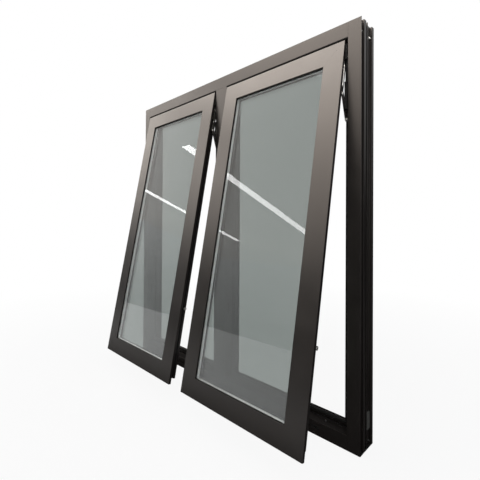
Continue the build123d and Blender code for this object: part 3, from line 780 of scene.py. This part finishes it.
def stay_details():
    """Pressed rib along each arm by a jamb, left off the arms by the mullion as painted shade, and black
    blocks in each stay as painted shade between the arm and the track.
    """
    lit_side_ribs = bmesh.new()
    shade_blocks = bmesh.new()
    for light in SIGNS:
        sash = sash_matrix(light)
        down = sash.to_3x3() @ Vector((0, 0, -1))
        for hand in SIGNS:
            # Only the arms by a jamb get the rib and its highlight; the arms by the mullion go without it,
            # as painted shade.
            if hand == light:
                middle = sash @ Matrix.Translation((hand * ARM_SIDE, RIB_DEPTH, -RIB_DROP))
                add_rib(lit_side_ribs, lying(middle.translation, down, Vector((hand, 0, 0))))
            seat = rebate_face(light, hand) - hand * TRACK_HEIGHT
            arm = light * SASH_CENTRE + hand * ARM_SIDE
            xs = sorted((seat, arm + hand * STAY_SHADE_BLOCK_REACH))
            # Black blocks from the track's seat to the arm: painted shade inside the stay.
            for near, far, low, high in STAY_SHADE_BLOCKS:
                add_block(
                    shade_blocks,
                    Vector((xs[0], FRONT_Y + near, low)),
                    Vector((xs[1], FRONT_Y + far, high)),
                    STAY_SHADE_BLOCK_CORNER,
                )
    finish_piece("lit_side_stay_ribs", lit_side_ribs, STAINLESS)
    finish_piece("stay_shade_blocks", shade_blocks, POLYAMIDE)


def head_shade_strips():
    """Black strip along the underside of the head, over each sash: painted shade that darkens the gap
    between the head and the sash top.
    """
    shape = bmesh.new()
    ends = (MULLION_SIDE + STRIP_END_GAP, REBATE_SIDE - STRIP_END_GAP)
    for light in SIGNS:
        xs = sorted(light * end for end in ends)
        add_block(
            shape,
            Vector((xs[0], FRONT_Y - STRIP_PROUD, HEAD_UNDERSIDE - STRIP_DROP)),
            Vector((xs[1], FRONT_Y + STRIP_DEPTH, HEAD_UNDERSIDE + STRIP_LIP)),
            STRIP_CORNER,
        )
    finish_piece("head_shade_strips", shape, RUBBER)


def jamb_end_pads():
    """Black pads that close the open channels at the feet of the jambs."""
    shape = bmesh.new()
    for side in SIGNS:
        for near, far, recess in END_PADS:
            xs = sorted((side * (HALF_WIDTH - recess), side * (HALF_WIDTH - END_PAD_SETBACK)))
            add_block(
                shape,
                Vector((xs[0], FRONT_Y + near, 0.0)),
                Vector((xs[1], FRONT_Y + far, END_PAD_HEIGHT)),
                END_PAD_CORNER,
            )
    finish_piece("jamb_end_pads", shape, RUBBER)


def lock_fixings():
    """Keeper screws and the turned caps of the lock rollers."""
    screws = bmesh.new()
    caps = bmesh.new()
    low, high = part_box("lock_keepers")
    middle = (low.z + high.z) / 2
    plate_y = low.y + KEEPER_SCREW_DEPTH
    for light in SIGNS:
        for hand in SIGNS:
            plate_x = rebate_face(light, hand) - hand * KEEPER_HEIGHT
            for offset in KEEPER_SCREW_OFFSETS:
                origin = (plate_x, plate_y, middle + offset)
                add_screw(screws, facing(origin, (-hand, 0, 0)), KEEPER_SCREW_SIZE)
            face = hand * (SASH_BODY_SIDE + ROLLER_REACH)
            origin = sash_matrix(light) @ Vector((face, ARM_DEPTH, -ROLLER_DROP))
            add_rivet(caps, facing(origin, (hand, 0, 0)), ROLLER_CAP_SIZE)
    finish_piece("keeper_screws", screws, SCREW_STEEL)
    finish_piece("roller_caps", caps, STAINLESS)


def sill_fixings():
    """Screws in the sill's rebate, black as painted shade under the sashes, and the rims of its weep slots.
    """
    screws = bmesh.new()
    rims = bmesh.new()
    upright = Matrix.Rotation(math.radians(90), 4, "X")
    rows = [
        plate(WEEP_LENGTH - inset, WEEP_WIDTH - inset, WEEP_CORNER - inset / 2, height)
        for inset, height in WEEP_RIM
    ]
    for light in SIGNS:
        for hand in SIGNS:
            across = light * LIGHT_CENTRE + hand * SILL_SCREW_OFFSET
            origin = (across, FRONT_Y + SILL_SCREW_DEPTH, SILL_TOP)
            add_screw(screws, facing(origin, (0, 0, 1)), SILL_SCREW_SIZE)
            slot_x = light * LIGHT_CENTRE + hand * WEEP_OFFSET
            place = Matrix.Translation((slot_x, FRONT_Y, WEEP_HEIGHT)) @ upright
            add_grid(rims, [[place @ point for point in row] for row in rows])
    # The sill screws are black zinc as painted shade under the open sashes; the keeper screws are bright
    # steel.
    finish_piece("shaded_sill_screws", screws, ZINC)
    finish_piece("weep_rims", rims, POLYAMIDE)


def slot_inserts():
    """Grey plugs over the jambs' service slots, with a turned edge and a raised middle."""
    shape = bmesh.new()
    rows = [
        plate(PLUG_LENGTH - inset, PLUG_WIDTH - inset, PLUG_CORNER - cut, height)
        for inset, cut, height in PLUG_PROFILE
    ]
    for side in SIGNS:
        origin = (side * (HALF_WIDTH - PLUG_RECESS), FRONT_Y + PLUG_DEPTH, PLUG_CENTRE_HEIGHT)
        place = lying(origin, Vector((0, 0, 1)), Vector((side, 0, 0)))
        add_solid(shape, [[place @ point for point in row] for row in rows])
    finish_piece("slot_inserts", shape, GREY_PLASTIC)


def trim_section():
    """Section of the spacer's silver trim, with rounded edges."""
    hidden = SPACER_RIM - TRIM_OVERLAP
    section = [(hidden, TRIM_NEAR)]
    for quarter, depth in ((0, TRIM_NEAR + TRIM_RADIUS), (1, TRIM_FAR - TRIM_RADIUS)):
        for index in range(TRIM_STEPS + 1):
            turn = math.pi / 2 * (quarter + index / TRIM_STEPS)
            inset = TRIM_RIM - TRIM_RADIUS + TRIM_RADIUS * math.sin(turn)
            section.append((inset, depth - TRIM_RADIUS * math.cos(turn)))
    section.append((hidden, TRIM_FAR))
    return section


def glazing_lines():
    """Rubber lips and drip strip on the glass, the spacer's trim, and the butyl lines beside it."""
    lips = bmesh.new()
    butyl = bmesh.new()
    trim = bmesh.new()
    hidden, shown = SPACER_RIM - BUTYL_HIDDEN, SPACER_RIM + BUTYL_SHOWN
    for light in SIGNS:
        middle = sash_matrix(light) @ Matrix.Translation((0, 0, -SASH_HEIGHT / 2))
        for section in (OUTDOOR_LIP, INDOOR_LIP):
            add_frame_ring(lips, middle, SIGHT_WIDTH, SIGHT_HEIGHT, section)
        add_frame_ring(trim, middle, SIGHT_WIDTH, SIGHT_HEIGHT, trim_section())
        top = middle @ Matrix.Translation((0, 0, SIGHT_HEIGHT / 2))
        rows = []
        for across in (-SIGHT_WIDTH / 2, SIGHT_WIDTH / 2):
            rows.append([top @ Vector((across, depth, -drop)) for drop, depth in DRIP_STRIP])
        add_solid(lips, rows)
        for near, far in BUTYL_DEPTHS:
            section = ((hidden, near), (shown, near), (shown, far), (hidden, far))
            add_frame_ring(butyl, middle, SIGHT_WIDTH, SIGHT_HEIGHT, section)
    finish_piece("gasket_lips", lips, RUBBER)
    finish_piece("butyl_lines", butyl, RUBBER)
    finish_piece("spacer_trim", trim, SPACER)


def handle_caps():
    """Screw caps on the handle bases."""
    shape = bmesh.new()
    base_face = SASH_DEPTH + HANDLE_BASE_HEIGHT
    height = -SASH_HEIGHT + HANDLE_RISE
    for light in SIGNS:
        sash = sash_matrix(light)
        out = sash.to_3x3() @ Vector((0, 1, 0))
        for across in HANDLE_CAP_OFFSETS:
            origin = sash @ Vector((across, base_face, height))
            add_rivet(shape, facing(origin, out), HANDLE_CAP_SIZE)
    finish_piece("handle_caps", shape, HANDLE_COAT)


# Studio
def light_path(tree):
    """Outputs that tell how a ray came."""
    return tree.nodes.new("ShaderNodeLightPath").outputs


def seen_factor(tree):
    """One for rays that show the background: straight, mirrored or through glass."""
    path = light_path(tree)
    seen = math_node(tree, "MAXIMUM", path["Is Camera Ray"], path["Is Glossy Ray"])
    return math_node(tree, "MAXIMUM", seen, path["Is Transmission Ray"])


def add_world():
    """White surroundings over a plain level of light."""
    world = bpy.data.worlds.new("world")
    bpy.context.scene.world = world
    world.use_nodes = True
    tree = world.node_tree
    light = tree.nodes["Background"]
    light.inputs["Color"].default_value = WORLD_COLOUR
    light.inputs["Strength"].default_value = WORLD_STRENGTH
    white = tree.nodes.new("ShaderNodeBackground")
    white.inputs["Color"].default_value = WHITE
    white.inputs["Strength"].default_value = 1.0
    show_mix(
        tree, "World Output", seen_factor(tree),
        light.outputs["Background"], white.outputs["Background"],
    )


def stage_sheet(name, corners, material):
    """Flat sheet of the studio, not part of the window."""
    mesh = bpy.data.meshes.new(name)
    mesh.from_pydata(corners, [], [tuple(range(len(corners)))])
    mesh.materials.append(material)
    sheet = bpy.data.objects.new(name, mesh)
    bpy.context.scene.collection.objects.link(sheet)
    return sheet


def level_corners(xs, ys, height):
    """Corners of a level rectangle."""
    (left, right), (near, far) = xs, ys
    return [(left, near, height), (right, near, height), (right, far, height), (left, far, height)]


def floor_material():
    """Pale floor that keeps the shadow near the window and turns into the white background further out."""
    made, tree, shader = new_material("floor")
    pale = between(tree, noise(tree, 4.0), (0.84, 0.84, 0.84), (0.87, 0.87, 0.87))
    tree.links.new(pale, shader.inputs["Base Color"])
    shader.inputs["Roughness"].default_value = 0.9
    shader.inputs["Specular IOR Level"].default_value = 0.1
    distance = length_of(tree, own_place(tree))
    fade = spread(tree, distance, FLOOR_WHITE_NEAR, 1.0, *FLOOR_FADE)
    white = tree.nodes.new("ShaderNodeEmission")
    white.inputs["Color"].default_value = WHITE
    white.inputs["Strength"].default_value = 1.0
    shown = math_node(tree, "MULTIPLY", fade, seen_factor(tree))
    shown = math_node(tree, "MAXIMUM", shown, light_path(tree)["Is Glossy Ray"])
    show_mix(
        tree, "Material Output", shown,
        shader.outputs["BSDF"], white.outputs["Emission"],
    )
    return made


def only_mirrored(sheet):
    """Let a sheet show in reflections alone, so that it neither lights nor hides anything."""
    sheet.visible_camera = False
    sheet.visible_diffuse = False
    sheet.visible_transmission = False
    sheet.visible_shadow = False


def ceiling_material():
    """Warm soft ceiling, brightest over the window, with a dimmer patch.

    Clear glass mirrors it no brighter than the background.
    """
    made, tree, shader = new_material("ceiling")
    place = own_place(tree)
    level = tree.nodes.new("ShaderNodeVectorMath")
    level.operation = "MULTIPLY"
    level.inputs[1].default_value = CEILING_STRETCH
    tree.links.new(place, level.inputs[0])
    distance = length_of(tree, level.outputs["Vector"])
    soft = math_node(tree, "DIVIDE", CEILING_GLOW, distance)
    soft = math_node(tree, "MINIMUM", soft, CEILING_PEAK)
    patch = tree.nodes.new("ShaderNodeMapping")
    patch.vector_type = "TEXTURE"
    patch.inputs["Location"].default_value = (*CEILING_PATCH, CEILING_HEIGHT)
    patch.inputs["Scale"].default_value = CEILING_PATCH_SIZE
    tree.links.new(place, patch.inputs["Vector"])
    reach = length_of(tree, patch.outputs["Vector"])
    dim = spread(tree, reach, CEILING_PATCH_SHARE, 1.0, *CEILING_PATCH_FADE)
    soft = math_node(tree, "MULTIPLY", soft, dim)
    strength = tree.nodes.new("ShaderNodeMix")
    tree.links.new(light_path(tree)["Is Singular Ray"], strength.inputs["Factor"])
    tree.links.new(soft, strength.inputs["A"])
    strength.inputs["B"].default_value = 1.0
    glow = tree.nodes.new("ShaderNodeEmission")
    glow.inputs["Color"].default_value = CEILING_COLOUR
    tree.links.new(strength.outputs["Result"], glow.inputs["Strength"])
    tree.links.new(glow.outputs["Emission"], tree.nodes["Material Output"].inputs["Surface"])
    tree.nodes.remove(shader)
    return made


def dark_cloth(name):
    """Dark cloth, with its node tree, that can be thinned out."""
    made = moulded(
        name, (0.02, 0.02, 0.02), (0.03, 0.03, 0.03),
        roughness=(0.8, 0.9), grain=40.0,
    )
    return made, made.node_tree


def thin_out(tree, factor):
    """Turn a cloth clear as the factor rises."""
    clear = tree.nodes.new("ShaderNodeBsdfTransparent")
    show_mix(
        tree, "Material Output", factor,
        tree.nodes["Principled BSDF"].outputs["BSDF"], clear.outputs["BSDF"],
    )


def mat_material():
    """Dark cloth for the floor, which satin faces mirror and clear glass doesn't."""
    made, tree = dark_cloth("mat_cloth")
    thin_out(tree, light_path(tree)["Is Singular Ray"])
    return made


def screen_material(name, low, high):
    """Dark cloth that thins out to nothing between two heights."""
    made, tree = dark_cloth(name)
    height = split(tree, own_place(tree))["Z"]
    thin_out(tree, spread(tree, height, 0.0, 1.0, low, high))
    return made


def add_lamp(name, centre, width, length, radiance, aim):
    """Soft lamp hung level with its long side along y, or turned to what it is aimed at."""
    data = bpy.data.lights.new(name, "AREA")
    data.shape = "RECTANGLE"
    data.size = width
    data.size_y = length
    data.energy = radiance * math.pi * width * length
    lamp = bpy.data.objects.new(name, data)
    lamp.visible_transmission = False
    lamp.location = centre
    if aim:
        lamp.rotation_euler = (Vector(aim) - Vector(centre)).to_track_quat("-Z", "Y").to_euler()
    bpy.context.scene.collection.objects.link(lamp)


def add_studio():
    """Floor, surroundings, lamps, and the ceiling, screens and mats that the faces mirror."""
    side = (-FLOOR_REACH, FLOOR_REACH)
    stage_sheet("floor", level_corners(side, side, FLOOR_LEVEL), floor_material())
    for name, (first, last, height, fade) in SCREENS.items():
        corners = [(*first, 0), (*last, 0), (*last, height), (*first, height)]
        cloth = screen_material(name + "_cloth", *fade)
        only_mirrored(stage_sheet(name + "_screen", corners, cloth))
    mat_cloth = mat_material()
    for name, (xs, ys) in MATS.items():
        only_mirrored(stage_sheet(name, level_corners(xs, ys, MAT_LEVEL), mat_cloth))
    ceiling = [(*corner, CEILING_HEIGHT) for corner in CEILING_CORNERS]
    only_mirrored(stage_sheet("ceiling", ceiling, ceiling_material()))
    add_world()
    for name, settings in LAMPS.items():
        add_lamp(name, *settings)


add_camera()
dress_nodes()
jamb_screws()
stay_fixings()
stay_details()
head_shade_strips()
jamb_end_pads()
lock_fixings()
sill_fixings()
slot_inserts()
glazing_lines()
handle_caps()
add_studio()
bpy.context.scene.view_settings.view_transform = "Standard"
